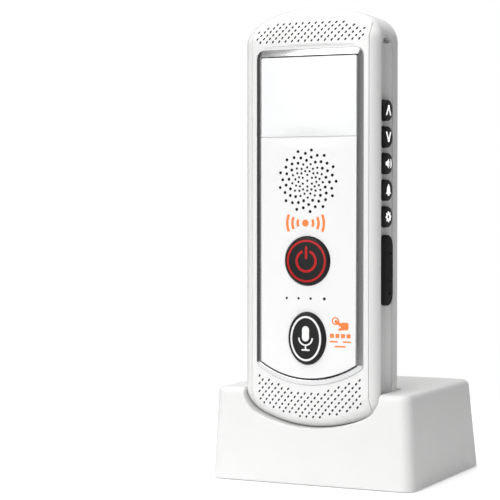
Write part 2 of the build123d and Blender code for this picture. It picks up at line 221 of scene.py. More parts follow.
def ring_edge(growth):
    """The trim ring's outline at a growth from its inner edge. Its top side is wider."""
    points, outward = panel_outline(panel_top, panel_corner, 0.4)
    stretch = np.where(outward[:, 1] > 0, 1.3, 1.0)
    return points + growth * outward * np.stack([np.ones_like(stretch), stretch], axis=1)


# The handset's outer surface

def inside_outline(x, z):
    """How far points lie inside the handset's outline, and how much the nearest
    edge faces an end of the handset."""
    x, z = np.abs(x), np.abs(z - centre_height)
    corner_x, corner_z, arc_z = end_corner()
    to_arc = np.maximum(np.hypot(x, z - arc_z), 1e-6)
    to_corner = np.maximum(np.hypot(x - corner_x, z - corner_z), 1e-6)
    by_arc = (z - arc_z) * corner_x > x * (corner_z - arc_z)
    by_corner = ~by_arc & (z > corner_z) & (x > corner_x)
    depth = np.where(by_corner, corner_radius - to_corner, half_width - x)
    depth = np.where(by_arc, end_radius - to_arc, depth)
    facing = np.where(by_corner, (z - corner_z) / to_corner, 0.0)
    return depth, np.where(by_arc, (z - arc_z) / to_arc, facing)


def crown(x):
    return crown_radius - np.sqrt(crown_radius**2 - np.square(x))


def edge_reach(facing):
    """The rounding's reach over the front and its depth, which grow towards the ends."""
    blend = facing**2 * (3 - 2 * facing)
    reach = side_round + (end_round_height - side_round) * blend
    return reach, side_round + (end_round_depth - side_round) * blend


def cover_depth(z):
    """Where the front cover's back is: it reaches further back at the handset's ends."""
    share = np.clip((np.abs(z - centre_height) - cover_step_start) / cover_step_length, 0, 1)
    return cover_back + (end_cover_back - cover_back) * share**2 * (3 - 2 * share)


def front_surface(x, z):
    depth, facing = inside_outline(x, z)
    reach, fall = edge_reach(facing)
    outside = np.clip(1 - depth / reach, 0, 1)
    return front + crown(x) + fall * (1 - np.sqrt(1 - outside**2))


# Making objects

def facing_front(u, v, depth):
    return np.stack([u, depth, v], axis=-1)


def facing_side(u, v, depth):
    return np.stack([-depth, u, v], axis=-1)


def facing_up(u, v, depth):
    return np.stack([u, v, -depth], axis=-1)


def new_object(name, points, faces, material, sharp_angle=32):
    mesh = bpy.data.meshes.new(name)
    mesh.from_pydata((np.asarray(points) * MM).tolist(), [], faces)
    work = bmesh.new()
    work.from_mesh(mesh)
    loose = [vertex for vertex in work.verts if not vertex.link_faces]
    bmesh.ops.delete(work, geom=loose, context="VERTS")
    bmesh.ops.recalc_face_normals(work, faces=work.faces)
    work.to_mesh(mesh)
    work.free()
    mesh.materials.append(material)
    shade(mesh, sharp_angle)
    made = bpy.data.objects.new(name, mesh)
    scene.collection.objects.link(made)
    return made


def shade(mesh, sharp_angle=32):
    mesh.polygons.foreach_set("use_smooth", [True] * len(mesh.polygons))
    mesh.set_sharp_from_angle(angle=radians(sharp_angle))


def fit(piece, body, *stands_for, slot=None):
    """Puts a finished piece on its CAD body, in place of the CAD nodes it shows."""
    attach(piece, body)
    if stands_for:
        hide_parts(*stands_for)
    return piece


def loft(rings, closed=False):
    """Points and faces through rings of equal length, capped unless it closes on itself."""
    count = len(rings[0])
    points = np.concatenate(rings)
    faces = []
    pairs = len(rings) if closed else len(rings) - 1
    for ring in range(pairs):
        low, high = ring * count, (ring + 1) % len(rings) * count
        for step in range(count):
            after = (step + 1) % count
            faces.append((low + step, low + after, high + after, high + step))
    if not closed:
        faces.append(tuple(range(count))[::-1])
        faces.append(tuple(range(len(points) - count, len(points))))
    return points, faces


def joined(parts):
    """Several (points, faces) as one."""
    points, faces, start = [], [], 0
    for part_points, part_faces in parts:
        points.append(part_points)
        faces += [tuple(start + index for index in face) for face in part_faces]
        start += len(part_points)
    return np.concatenate(points), faces


def quarter_turn(steps, radius=1.0):
    """A rounded edge from its side to its face, as pairs: how far in and how far below."""
    angles = np.radians(np.linspace(0, 90, steps + 1))
    return [(radius * (1 - cos(angle)), radius * (1 - sin(angle))) for angle in angles]


def rim(outline, radius, into=-1):
    """Loops that round an edge over: the edge itself first, then further in."""
    return [(grown(outline, into * inward), drop) for inward, drop in quarter_turn(3, radius)]


def sharp(loop):
    """An edge that isn't rounded over, as plate takes it."""
    return [(loop, 0.0)]


def even(depth):
    """A surface that is flat at one depth."""
    return lambda u, v: np.full_like(u, depth)


def plate(edge, front_at, back_at, holes=(), pits=(), pit_depth=1.2, samples=(), lay=facing_front):
    """A solid with its front at front_at(u, v) and its back at back_at(u, v). The edge and
    each hole are lists of (loop, drop), the boundary first. Pits are loops with a floor."""
    points, drops, loops, lines = [], [], [], []

    def add(loop, drop):
        first = len(points)
        points.extend(map(tuple, loop))
        drops.extend([drop] * len(loop))
        return list(range(first, len(points)))

    for boundary in [edge, *holes, *map(sharp, pits)]:
        loops.append(add(*boundary[0]))
        for loop, drop in boundary[1:]:
            ring = add(loop, drop)
            lines += zip(ring, ring[1:] + ring[:1])
    add(list(samples), 0.0)
    vectors = [Vector(point) for point in points]
    flat, _, triangles, sources, _, inside = geometry.delaunay_2d_cdt(
        vectors, lines, loops, 1, 1e-6, True
    )
    u, v = np.array([tuple(point) for point in flat]).T
    count = len(u)
    top = front_at(u, v) + [max([drops[i] for i in source], default=0.0) for source in sources]
    layers = [lay(u, v, depth) for depth in (top, top + pit_depth, back_at(u, v))]
    first_pit = 1 + len(holes)
    faces, level_at = [], {}
    for triangle, owners in zip(triangles, inside):
        if 0 not in owners or any(0 < owner < first_pit for owner in owners):
            continue
        level = 1 if any(owner >= first_pit for owner in owners) else 0
        faces.append(tuple(level * count + i for i in triangle))
        faces.append(tuple(2 * count + i for i in reversed(triangle)))
        for i, start in enumerate(triangle):
            level_at[start, triangle[(i + 1) % 3]] = level
    for (start, end), level in level_at.items():
        below = level_at.get((end, start), 2)
        if below > level:
            high, low = level * count, below * count
            faces.append((high + end, high + start, low + start, low + end))
    return np.concatenate(layers), faces


def cut(piece, *cutters):
    """Takes cutters, given as (points, faces), out of a piece, one after another."""
    sources = [piece.data]
    for points, faces in cutters:
        tool = new_object("cutter", points, faces, piece.data.materials[0])
        boolean = piece.modifiers.new("cut", "BOOLEAN")
        boolean.operation = "DIFFERENCE"
        boolean.solver = "EXACT"
        boolean.object = tool
        graph = bpy.context.evaluated_depsgraph_get()
        mesh = bpy.data.meshes.new_from_object(piece.evaluated_get(graph))
        piece.modifiers.clear()
        piece.data = mesh
        sources.append(tool.data)
        bpy.data.objects.remove(tool)
    shade(piece.data)
    carry_normals(piece.data, sources)
    name = sources[0].name
    for source in sources:
        bpy.data.meshes.remove(source)
    piece.data.name = name
    return piece


def carry_normals(mesh, sources):
    """Shades a cut mesh by the normals of the smooth shapes that it was cut from."""
    reach, step_in, least_likeness = 0.05 * MM, 0.02 * MM, 0.85
    trees = []
    for source in sources:
        spots = [vertex.co for vertex in source.vertices]
        faces = [tuple(face.vertices) for face in source.polygons]
        trees.append(BVHTree.FromPolygons(spots, faces))
    normals = [corner.vector.copy() for corner in mesh.corner_normals]
    mesh.calc_loop_triangles()
    for triangle in mesh.loop_triangles:
        corners = [mesh.vertices[i].co for i in triangle.vertices]
        centre = sum(corners, Vector()) / 3
        found = [(tree.find_nearest(centre, reach)[3], i) for i, tree in enumerate(trees)]
        found = [hit for hit in found if hit[0] is not None]
        if not found:
            continue
        place = min(found)[1]
        source = sources[place]
        for corner, loop in zip(corners, triangle.loops):
            step = centre - corner
            probe = corner + step * min(1.0, step_in / max(step.length, 1e-9))
            spot, _, index, _ = trees[place].find_nearest(probe)
            face = source.polygons[index]
            shares = interpolate.poly_3d_calc([source.vertices[i].co for i in face.vertices], spot)
            carried = Vector()
            for share, i in zip(shares, face.loop_indices):
                carried += share * source.corner_normals[i].vector
            carried = carried.normalized() * (1 if carried.dot(triangle.normal) > 0 else -1)
            if carried.dot(triangle.normal) > least_likeness:
                normals[loop] = carried
    mesh.normals_split_custom_set(normals)


def follow(piece, surface):
    """Shades the front of a piece by the slope of the surface y(x, z) that it lies on."""
    mesh = piece.data
    count = len(mesh.vertices)
    spots = np.empty(count * 3)
    mesh.vertices.foreach_get("co", spots)
    x, _, z = spots.reshape(count, 3).T / MM
    near, least_likeness = 0.02, 0.93
    slope_x = (surface(x + near, z) - surface(x - near, z)) / (2 * near)
    slope_z = (surface(x, z + near) - surface(x, z - near)) / (2 * near)
    known = np.stack([slope_x, -np.ones(count), slope_z], axis=1)
    known /= np.linalg.norm(known, axis=1)[:, None]
    normals = [corner.vector.copy() for corner in mesh.corner_normals]
    for face in mesh.polygons:
        for loop in face.loop_indices:
            here = Vector(known[mesh.loops[loop].vertex_index])
            if here.dot(face.normal) > least_likeness:
                normals[loop] = here
    mesh.normals_split_custom_set(normals)
    return piece


def swept(outline, stations, lay, sign):
    """A loft of an outline through (depth, growth) stations."""
    return loft([lay(*grown(outline, growth).T, np.full(len(outline[0]), sign * depth))
                 for depth, growth in stations])


# Lofts along each axis. For along_y the stations are (y, growth), and so on.

def along_y(outline, *stations):
    return swept(outline, stations, facing_front, 1)


def along_x(outline, *stations):
    return swept(outline, stations, facing_side, -1)


def along_z(outline, *stations):
    return swept(outline, stations, facing_up, -1)


# Materials

colour_patch, gloss_patch, speckle_size = 14.0, 5.0, 0.5
grain_height = 0.02
coat_roughness = 0.06


def feed(tree, value, socket):
    """Links a socket to a node's output, or sets it to a value."""
    if isinstance(value, bpy.types.NodeSocket):
        tree.links.new(value, socket)
    else:
        socket.default_value = value


def add_node(tree, kind, inputs):
    node = tree.nodes.new(f"ShaderNode{kind}")
    for name, value in inputs.items():
        feed(tree, value, node.inputs[name])
    return node


def material(name, colour, roughness, *, metallic=0.0, coat=0.0, grain=0.0, grain_size=0.35,
             mottle=0.02, uneven=0.06, specular=0.5, speckle=None, painted_light_strength=0.0):
    """A moulded or machined surface: fine grain in its bump, slow changes in colour and
    roughness. Speckle is a second colour and the share of the surface that it takes."""
    made = bpy.data.materials.new(name)
    made.use_nodes = True
    tree = made.node_tree
    shader = tree.nodes["Principled BSDF"]
    place = tree.nodes.new("ShaderNodeTexCoord").outputs["Object"]

    def noise(size, detail=2.0):
        inputs = {"Scale": 1 / (size * MM), "Detail": detail, "Vector": place}
        return add_node(tree, "TexNoise", inputs).outputs["Fac"]

    def ramp(factor, low, high, start=0.3, end=0.7):
        inputs = {"Value": factor, "From Min": start, "From Max": end, "To Min": low, "To Max": high}
        return add_node(tree, "MapRange", inputs).outputs["Result"]

    def mix(factor, first, second):
        node = add_node(tree, "Mix", {"Factor": factor})
        node.data_type = "RGBA"
        for value, slot in ((first, "A"), (second, "B")):
            socket = next(i for i in node.inputs if i.name == slot and i.type == "RGBA")
            feed(tree, (*value, 1) if isinstance(value, tuple) else value, socket)
        return next(o for o in node.outputs if o.type == "RGBA")

    shade_low = tuple(max(0.0, c * (1 - mottle)) for c in colour)
    shade_high = tuple(min(1.0, c * (1 + mottle)) for c in colour)
    tint = mix(ramp(noise(colour_patch), 0, 1), shade_low, shade_high)
    if speckle:
        second, share = speckle
        tint = mix(ramp(noise(speckle_size, 0.0), 0, 1, 0.64 - share, 0.66 - share), tint, second)
    spread = ramp(noise(gloss_patch, 3.0), max(0.02, roughness - uneven), min(1.0, roughness + uneven))
    looks = {"Base Color": tint, "Roughness": spread, "Metallic": metallic, "Coat Weight": coat,
             "Coat Roughness": coat_roughness, "Specular IOR Level": specular}
    if grain:
        bump = {"Strength": grain, "Distance": grain_height * MM, "Height": noise(grain_size, 3.0)}
        looks["Normal"] = add_node(tree, "Bump", bump).outputs["Normal"]
    # Painted light: an even white glow from the surface itself.
    if painted_light_strength:
        looks |= {"Emission Color": (1, 1, 1, 1), "Emission Strength": painted_light_strength}
    for socket, value in looks.items():
        feed(tree, value, shader.inputs[socket])
    return made


white_gloss = material("white_gloss_plastic", (0.86, 0.86, 0.855), 0.26, coat=0.3, grain=0.04,
                       grain_size=0.9, mottle=0.004, uneven=0.008)
white_satin = material("white_satin_plastic", (0.81, 0.81, 0.805), 0.42, grain=0.3, mottle=0.008)
panel_white = material("panel_white", (0.9, 0.9, 0.9), 0.4, coat=0.12, mottle=0.004, uneven=0.02)
window_white = material("display_window", (0.93, 0.935, 0.94), 0.36, coat=0.15, mottle=0.003,
                        uneven=0.02)
chrome = material("chrome_trim", (0.76, 0.76, 0.77), 0.17, metallic=1.0, mottle=0.01, uneven=0.02)
black_key = material("black_button_plastic", (0.014, 0.014, 0.015), 0.45, grain=0.35,
                     grain_size=0.25, mottle=0.1, specular=0.2)
black_rubber = material("black_rubber", (0.01, 0.01, 0.011), 0.6, grain=0.6, grain_size=0.3,
                        mottle=0.12, specular=0.15)
black_plastic = material("black_plastic", (0.02, 0.02, 0.021), 0.45, grain=0.3, mottle=0.1)
red_ink = material("red_ink", (0.5, 0.008, 0.009), 0.45, grain=0.1, mottle=0.04, specular=0.3)
white_ink = material("white_ink", (0.88, 0.88, 0.87), 0.4, grain=0.1, mottle=0.01)
# Painted light: the side key symbols glow, though they are not lamps.
painted_light_ink = material("white_ink_painted_light", (0.88, 0.88, 0.87), 0.4, grain=0.1, mottle=0.01, painted_light_strength=0.7)
orange_ink = material("orange_ink", (0.95, 0.24, 0.045), 0.4, grain=0.1, mottle=0.03)
steel = material("steel", (0.6, 0.6, 0.6), 0.3, metallic=1.0, grain=0.2, mottle=0.04)
zinc = material("zinc_screw", (0.66, 0.66, 0.64), 0.38, metallic=1.0, grain=0.3, mottle=0.05)
gold = material("gold_contact", (0.9, 0.66, 0.28), 0.22, metallic=1.0, grain=0.1, mottle=0.04)
circuit = material("circuit_board", (0.02, 0.16, 0.07), 0.35, coat=0.4, grain=0.3,
                   speckle=((0.5, 0.4, 0.16), 0.05), mottle=0.08)
paper = material("speaker_paper", (0.05, 0.048, 0.045), 0.85, grain=0.9, grain_size=0.6, mottle=0.15)
fabric = material("speaker_fabric", (0.012, 0.012, 0.012), 0.9, grain=1.0, grain_size=0.25, mottle=0.2)
foam = material("foam", (0.06, 0.06, 0.062), 0.95, grain=1.0, grain_size=0.5, mottle=0.15,
                speckle=((0.015, 0.015, 0.015), 0.12))
battery_wrap = material("battery_wrap", (0.5, 0.52, 0.55), 0.3, metallic=0.6, grain=0.4, grain_size=3.0)
smoked = material("clear_light_pipe", (0.03, 0.03, 0.032), 0.15, coat=0.5, mottle=0.05)
component_white = material("component_white", (0.75, 0.74, 0.7), 0.4, grain=0.2)
display_glass = material("display_glass", (0.55, 0.58, 0.56), 0.08, coat=0.7, mottle=0.01)
# Painted shade: a grey for the floors and walls of holes and pits, standing in for the shade deep inside
# them.
hole_shade_grey = material("painted_hole_shade", (0.16, 0.16, 0.16), 0.8, grain=0.8, grain_size=0.3, mottle=0.15)

inner_looks = {
    display_glass: ["display_module"],
    black_plastic: ["display_frame", "microphone_boot", "motor_cradle", "side_switches", "power_switch",
                    "talk_switch", "contact_carrier", "speaker_basket"],
    fabric: ["speaker_mesh"],
    foam: ["speaker_gasket", "battery_pad"],
    paper: ["speaker_cone"],
    steel: ["speaker_magnet", "radio_module", "microphone", "vibration_motor", "vibration_weight",
            "charging_socket", "dock_inlet", "lanyard_bar", "ballast_plate"],
    circuit: ["main_board", "side_board", "dock_board"],
    component_white: ["status_lamps", "antenna"],
    smoked: ["light_pipes"],
    battery_wrap: ["battery"],
    gold: ["charging_contacts", "pin_sleeves", "charging_pin_left", "charging_pin_right"],
    zinc: ["housing_screws", "dock_screws"],
    white_satin: ["dock_base"],
    black_rubber: ["rubber_feet"],
}
for look, names in inner_looks.items():
    for name in names:
        nodes[name].data.materials.clear()
        nodes[name].data.materials.append(look)


# Handset: front cover

def grille_marks(top_row, row_pitch, pitch, rows):
    """Slanted slots in rows from the top down. A row is its count and how many of its
    middle slots are left out."""
    length, radius, slant = 0.5, 0.34, radians(50)
    lean = np.array([length / 2 * cos(slant), length / 2 * sin(slant)])
    marks = []
    for row, (count, left_out) in enumerate(rows):
        for place in range(count):
            offset = place - (count - 1) / 2
            if abs(offset) > (left_out - 1) / 2:
                spot = np.array([offset * pitch, top_row - row * row_pitch])
                marks.append(capsule(spot - lean, spot + lean, radius, 0.25)[0])
    return marks


top_grille = grille_marks(top_row=175.35, row_pitch=1.315, pitch=2.72, rows=[
    (count, 0) for count in (11, 14, 17, 16, 17, 16)
])
bottom_grille = grille_marks(top_row=41.15, row_pitch=1.485, pitch=2.77, rows=[
    (16, 14), (15, 11), (16, 8), (15, 5), *((count, 0) for count in (16, 15, 16, 15, 12, 9, 4))
])
grille = top_grille + bottom_grille
pit_depth = 1.0


def cover_edge():
    """The cover's outline, where its domed ends meet the rear housing, and the lines that
    follow it over the domes."""
    points, outward = handset_outline(0.8)
    reach, fall = edge_reach(np.abs(outward[:, 1]))
    inset = np.zeros(len(points))
    for _ in range(4):
        x = (points - inset[:, None] * outward)[:, 0]
        left = np.clip(1 - (cover_depth(points[:, 1]) - front - crown(x)) / fall, -1, 1)
        inset = reach * (1 - np.sqrt(1 - left**2))
    start = np.arcsin(left)
    rings = []
    for share in np.linspace(0, 1, 12):
        angle = start + (pi / 2 - start) * share
        rings.append(points - (reach * (1 - np.cos(angle)))[:, None] * outward)
    return rings


def cover_surface(x, z):
    """The cover's front, rounded over along its two long seams."""
    share = np.clip(1 - (cover_half - np.abs(x)) / seam_round, 0, 1)
    rounded = seam_round * (1 - np.sqrt(1 - share**2))
    return np.minimum(front_surface(x, z) + rounded, cover_depth(z) - 0.01)


def cover_samples(rings, low, high):
    """Points that carry the cover's curves: on its domed ends, its long edges and its arches."""
    samples = []
    inner_half = cover_half - seam_round - 0.1
    for ring in rings:
        samples += [(x, z) for x, z in ring if abs(x) < inner_half and abs(z - centre_height) > 40]
    insets = (seam_round * 0.3, seam_round * 0.6, seam_round, 0.9)
    for side in (-1, 1):
        for z in np.arange(low + 1, high, 1.5):
            samples += [(side * (cover_half - inset), z) for inset in insets]
    for z in np.concatenate([np.arange(30, 40, 1.6), np.arange(167.6, 172, 1.6)]):
        samples += [(x, z) for x in np.arange(-22, 22.1, 2.0)]
    return samples


def paint_hole_shade(piece, centres, reach, chosen):
    """Makes the faces grey that are near a centre, where chosen(face, x, y, z) says so: painted shade in
    holes and pits.
    """
    piece.data.materials.append(hole_shade_grey)
    for face in piece.data.polygons:
        x, y, z = np.array(face.center) / MM
        if chosen(face, x, y, z) and np.hypot(*(centres - (x, z)).T).min() < reach:
            face.material_index = 1
    return piece


def front_cover():
    outermost, *rings = cover_edge()
    x, z = outermost.T
    between = np.abs(x) < cover_half - 0.3
    upper_end = outermost[z > centre_height + 60]
    high = np.interp(cover_half, *upper_end[np.argsort(upper_end[:, 0])].T)
    low = 2 * centre_height - high
    edge = np.array([
        (cover_half, low), (cover_half, high), *outermost[between & (z > centre_height)],
        (-cover_half, high), (-cover_half, low), *outermost[between & (z < centre_height)],
    ])
    opening = [(ring_edge(ring_width + inward), 0.3 * drop) for inward, drop in quarter_turn(4)]
    solid = plate(sharp(edge), cover_surface, lambda x, z: cover_depth(z), holes=[opening],
                  pits=grille, pit_depth=pit_depth, samples=cover_samples(rings, low, high))
    made = follow(new_object("front_cover_shell", *solid, white_gloss, 38), cover_surface)

    # The floors and deep walls of the grille pits get painted shade.
    def in_pit(face, x, y, z):
        return 0.3 < y - cover_surface(x, z) < pit_depth + 0.1

    return paint_hole_shade(made, np.array([slot.mean(axis=0) for slot in grille]), 1.0, in_pit)


fit(front_cover(), "handset", "front_cover", slot="white_gloss_plastic")


# Handset: rear housing

def housing_body():
    points, outward = handset_outline()
    reach, fall = edge_reach(np.abs(outward[:, 1]))
    rings = []
    for inward, drop in reversed(quarter_turn(14)):
        flat = points - (reach * inward)[:, None] * outward
        rings.append(facing_front(*flat.T, front + crown(flat[:, 0]) + fall * drop))
    for inward, drop in quarter_turn(12, back_round):
        flat = points - inward * outward
        rings.append(facing_front(*flat.T, np.full(len(flat), back - drop)))
    return loft(rings)


def front_opening():
    """The space that the front cover fills, with rounded edges along both seams."""
    from_end = (-2, 0, 0.3, 1, 2, 3.5, 5, 7, 9, 12, 16)
    rings = []
    for z in [bottom + step for step in from_end] + [top - step for step in reversed(from_end)]:
        deep = float(cover_depth(z))
        lip = min(float(front_surface(seam_half, z)), deep - 0.3)
        side = [(seam_half, deep + 0.02)]
        side += [(seam_half + inward, lip + drop) for inward, drop in quarter_turn(3, seam_round)]
        side.append((seam_half + seam_round, front - 3))
        x, y = np.array(side + [(-x, y) for x, y in reversed(side)]).T
        rings.append(facing_front(x, np.full(len(x), z), y))
    return loft(rings)


def channel_space():
    """The hollow along the side: steep in front, rising gently to a step at the back."""
    profile = [
        (30.0, -5.6, 5.6), (28.0, -5.6, 5.6), (27.1, -5.58, 5.58), (27.05, -5.57, 5.2), (27.75, -5.56, 5.1),
        (27.62, -5.5, 4.75), (27.0, -5.4, 3.6), (26.6, -5.3, 2.8), (26.45, -5.1, 2.35), (26.4, -4.8, 1.9),
    ]
    low, high = channel_bottom + channel_half, channel_top - channel_half
    rings = []
    for x, ahead, behind in profile:
        radius = (behind - ahead) / 2
        y = channel_centre + (ahead + behind) / 2
        outline = capsule((y, low), (y, high), radius, radius * pi / 24)[0]
        rings.append(facing_side(*outline.T, np.full(len(outline), -x)))
    return loft(rings)


def key_heights():
    return [middle(f"{name}_button")[2] for name in side_key_names]


def lanyard_hole():
    place = middle("lanyard_bar")
    return box_around(place[1], place[2], 2.3, 1.2, 1.1)


def housing_room():
    """The hollow inside, with a thicker wall beside the channel."""
    rail_end = front + 16.3
    return along_y(handset_outline(1.5), (cover_back - 1, -rail_wall), (rail_end, -rail_wall),
                   (rail_end + 0.01, -wall), (back - wall, -wall))


def side_holes():
    """What goes in through the side: the keys, the rubber cover, the socket, the lanyard."""
    key_hole = half_size("volume_button")[2] - 0.5
    keys = [along_x(circle(side_key_y, z, key_hole), (key_hole_floor, 0), (clear_x, 0))
            for z in key_heights()]
    seat_low = span("socket_cover")[0][2] + strip_half
    seat_high = span("socket_cover_anchor")[1][2] - strip_half
    seat = capsule((side_key_y, seat_low), (side_key_y, seat_high), strip_half + 0.15)
    port = middle("charging_socket")
    return [joined(keys), along_x(seat, (channel_floor, 0), (clear_x, 0)),
            along_x(box_around(port[1], port[2], port_short, port_long, port_round),
                    (port_floor, 0), (clear_x, 0)),
            along_x(lanyard_hole(), (lanyard_floor, 0), (clear_x, 0))]


def rear_housing():
    made = new_object("rear_housing_shell", *housing_body(), white_gloss)
    screws = [along_y(circle(x, z, screw_well_radius), (back - screw_well_depth, 0), (back + 1, 0))
              for x in (-screw_x, screw_x) for z in screw_heights]
    pads = [along_z(box_around(x, contact_y, contact_pad_half, contact_pad_half, 0.3), (20, 0), (28, 0))
            for x in (-contact_x, contact_x)]
    return cut(made, front_opening(), housing_room(), channel_space(), *side_holes(),
               joined(screws), joined(pads))


fit(rear_housing(), "handset", "rear_housing", slot="white_gloss_plastic")


def lanyard_hole_shade():
    """A dark floor at the bottom of the hole that the lanyard bar crosses: painted shade that stands for
    the dark hollow behind it.
    """
    solid = along_x(lanyard_hole(), (lanyard_floor - 0.1, 0.05), (lanyard_floor + 0.5, 0.05))
    return new_object("lanyard_hole_shade", *solid, black_plastic)


fit(lanyard_hole_shade(), "handset")


# Handset: trim ring, panel and window

def front_panel_surface(x, z):
    return panel_low[1] + crown(x)


def trim_ring():
    """A raised bevel round the panel, a little rounder towards its outer edge."""
    outer, inner, deep = ring_width - 0.08, 0.22, 2.9
    crest = panel_low[1] - front - 0.06
    profile = [(outer, deep), (outer, 0.1)]
    for share in np.linspace(0, 1, 6):
        rise = 0.8 * share + 0.2 * sin(share * pi / 2)
        profile.append((outer - 0.05 - (outer - 0.05 - inner) * share, crest * rise))
    profile += [(0.1, crest + 0.06), (0.05, crest + 0.2), (0.05, deep)]
    rings = []
    for growth, drop in profile:
        flat = ring_edge(growth)
        rings.append(facing_front(*flat.T, front + crown(flat[:, 0]) + drop))
    return new_object("trim_ring_bevel", *loft(rings, closed=True), chrome, 25)


fit(trim_ring(), "handset", "trim_ring", slot="chrome_trim")


def speaker_holes():
    """A middle hole, six round it, then rings of 13 that each turn a little further."""
    small, large, start, step, turn = 0.46, 0.6, 3.7, 1.33, 14.85
    spots = [(0.0, 0.0, small)]
    spots += [(2.2 * cos(radians(a)), 2.2 * sin(radians(a)), small) for a in range(30, 390, 60)]
    for ring in range(7):
        reach = start + step * ring
        for place in range(13):
            angle = radians(20.3 + turn * ring + 360 * place / 13)
            spots.append((reach * cos(angle), reach * sin(angle), small if ring < 3 else large))
    return [circle(x, speaker_height + z, r, 14)[0] for x, z, r in spots]


def power_outline():
    radius = half_size("power_button")[2] - front_flange
    return circle(0.0, middle("power_button")[2], radius, 72)


def talk_outline():
    half = half_size("talk_button") - front_flange
    return ellipse(0.0, middle("talk_button")[2], half[0], half[2], 72)


lamp_places, lamp_hole = (-8.6, -3.6, 1.4), 0.5
microphone_place, microphone_hole = 7.0, 0.6


def panel_samples(low, high):
    """Points that carry the curve of the panel's front between two heights."""
    return [(x, z) for x in np.arange(-19, 19.1, 2.0) for z in np.arange(low, high, 3.0)]


def face_panel():
    points, outward = panel_outline(panel_high[2] + panel_gap, 0.3)
    gap = panel_gap * np.where(outward[:, 1] < 0, 1.7, 1.0)
    outline = (points - gap[:, None] * outward, outward)
    key_holes = [rim((grown(key, 0.2), key[1]), 0.2, 1) for key in (power_outline(), talk_outline())]
    small_holes = speaker_holes()
    small_holes += [circle(x, lamp_height, lamp_hole, 18)[0] for x in lamp_places]
    small_holes.append(circle(microphone_place, lamp_height, microphone_hole, 18)[0])
    solid = plate(rim(outline, 0.25), front_panel_surface, even(panel_back),
                  holes=key_holes + [sharp(hole) for hole in small_holes],
                  samples=panel_samples(44, panel_high[2] - 1))
    made = new_object("face_panel_gloss", *solid, panel_white, 40)

    # The walls of the speaker, lamp and microphone holes get painted shade.
    def wall_of_hole(face, x, y, z):
        return abs(face.normal.y) < 0.5

    return paint_hole_shade(made, np.array([hole.mean(axis=0) for hole in small_holes]), 0.7, wall_of_hole)


def display_window():
    half = panel_half - panel_gap
    outline = rounded_box(-half, half, lens_low[2], panel_top - panel_gap, 0.3, panel_corner)
    solid = plate(rim(outline, 0.2), front_panel_surface, even(panel_back),
                  samples=panel_samples(134, 164))
    return new_object("display_window_gloss", *solid, window_white, 40)


fit(face_panel(), "handset", "face_panel", slot="panel_white")
fit(display_window(), "handset", "display_lens", slot="display_window")


# Handset: keys on the front

def front_key(name, outline, low_y):
    """A cap with a rounded edge and a faintly domed face, on the flange that keeps it in."""
    shoulder = panel_back + 0.1
    stations = [(shoulder + 0.8, front_flange), (shoulder, front_flange), (shoulder - 0.01, 0.0)]
    stations += [(low_y + drop, -inward) for inward, drop in quarter_turn(6, key_round)]
    stations += [(low_y - key_crown * share * (2 - share), -key_round - share * key_crown_reach)
                 for share in (0.25, 0.5, 0.75, 1.0)]
    return new_object(name, *along_y(outline, *stations), black_key)


def key_dome(outline, low_y):
    """The depth of a front key's face, by how far a point lies inside its edge."""
    half_u = np.ptp(outline[0][:, 0]) / 2
    half_v = np.ptp(outline[0][:, 1]) / 2
    centre_v = outline[0][:, 1].mean()

    def depth(u, v):
        inset = (1 - np.hypot(u / half_u, (v - centre_v) / half_v)) * min(half_u, half_v)
        share = np.clip((inset - key_round) / key_crown_reach, 0, 1)
        return low_y - key_crown * share * (2 - share)

    return depth


def ink(name, shapes, depth_at, look, body, lay=facing_front, thickness=ink_height):
    """Printed or inlaid marks that stand a hair above a surface. A shape is a list of
    loops: its outline, then any holes."""
    def top_of(u, v):
        return depth_at(u, v) - thickness

    def back_of(u, v):
        return depth_at(u, v) + thickness

    parts = [plate(sharp(outline), top_of, back_of, holes=[sharp(hole) for hole in holes], lay=lay)
             for outline, *holes in shapes]
    return fit(new_object(name, *joined(parts), look), body)


def arc_band(u, v, radius, width, start, end):
    """Part of a ring with square ends, as one loop."""
    angles = np.radians(np.linspace(start, end, max(6, round(abs(end - start) / 6))))
    outer, inner = [
        [(u + reach * cos(angle), v + reach * sin(angle)) for angle in order]
        for reach, order in ((radius + width / 2, angles), (radius - width / 2, angles[::-1]))
    ]
    return np.array(outer + inner)


power, talk = power_outline(), talk_outline()
power_v, talk_v = middle("power_button")[2], middle("talk_button")[2]
power_y, talk_y = span("power_button")[0][1] + key_crown, span("talk_button")[0][1] + key_crown
power_face, talk_face = key_dome(power, power_y), key_dome(talk, talk_y)

fit(front_key("power_key", power, power_y), "power_button", "power_button",
    slot="black_button_plastic")
fit(front_key("talk_key", talk, talk_y), "talk_button", "talk_button",
    slot="black_button_plastic")

ink("power_key_ring", [[grown(power, -1.15), grown(power, -1.95)]], power_face, red_ink, "power_button")
power_shapes = [
    [arc_band(0, power_v, 3.9, 0.95, 112, 428)],
    [capsule((0, power_v + 1.2), (0, power_v + 5.1), 0.5)[0]],
]
ink("power_symbol", power_shapes, power_face, red_ink, "power_button")
ink("talk_key_ring", [[grown(talk, -1.25), grown(talk, -2.0)]], talk_face, white_ink, "talk_button")
microphone_shapes = [
    [capsule((0, talk_v + 0.4), (0, talk_v + 3.3), 1.45)[0]],
    [arc_band(0, talk_v + 0.3, 2.75, 0.6, 180, 360)],
    [rounded_box(-0.3, 0.3, talk_v - 4.1, talk_v - 2.2, 0.1)[0]],
    [rounded_box(-1.7, 1.7, talk_v - 4.6, talk_v - 4.0, 0.25)[0]],
]
ink("talk_symbol", microphone_shapes, talk_face, white_ink, "talk_button")


# Handset: generic orange marks on the panel

def call_waves(u, v):
    """A round dot with sound waves on both sides."""
    shapes = [[circle(u, v, 1.35, 24)[0]]]
    for radius in (3.2, 5.4, 7.6):
        for facing in (0, 180):
            shapes.append([arc_band(u, v, radius, 1.05, facing - 25, facing + 25)])
    return shapes


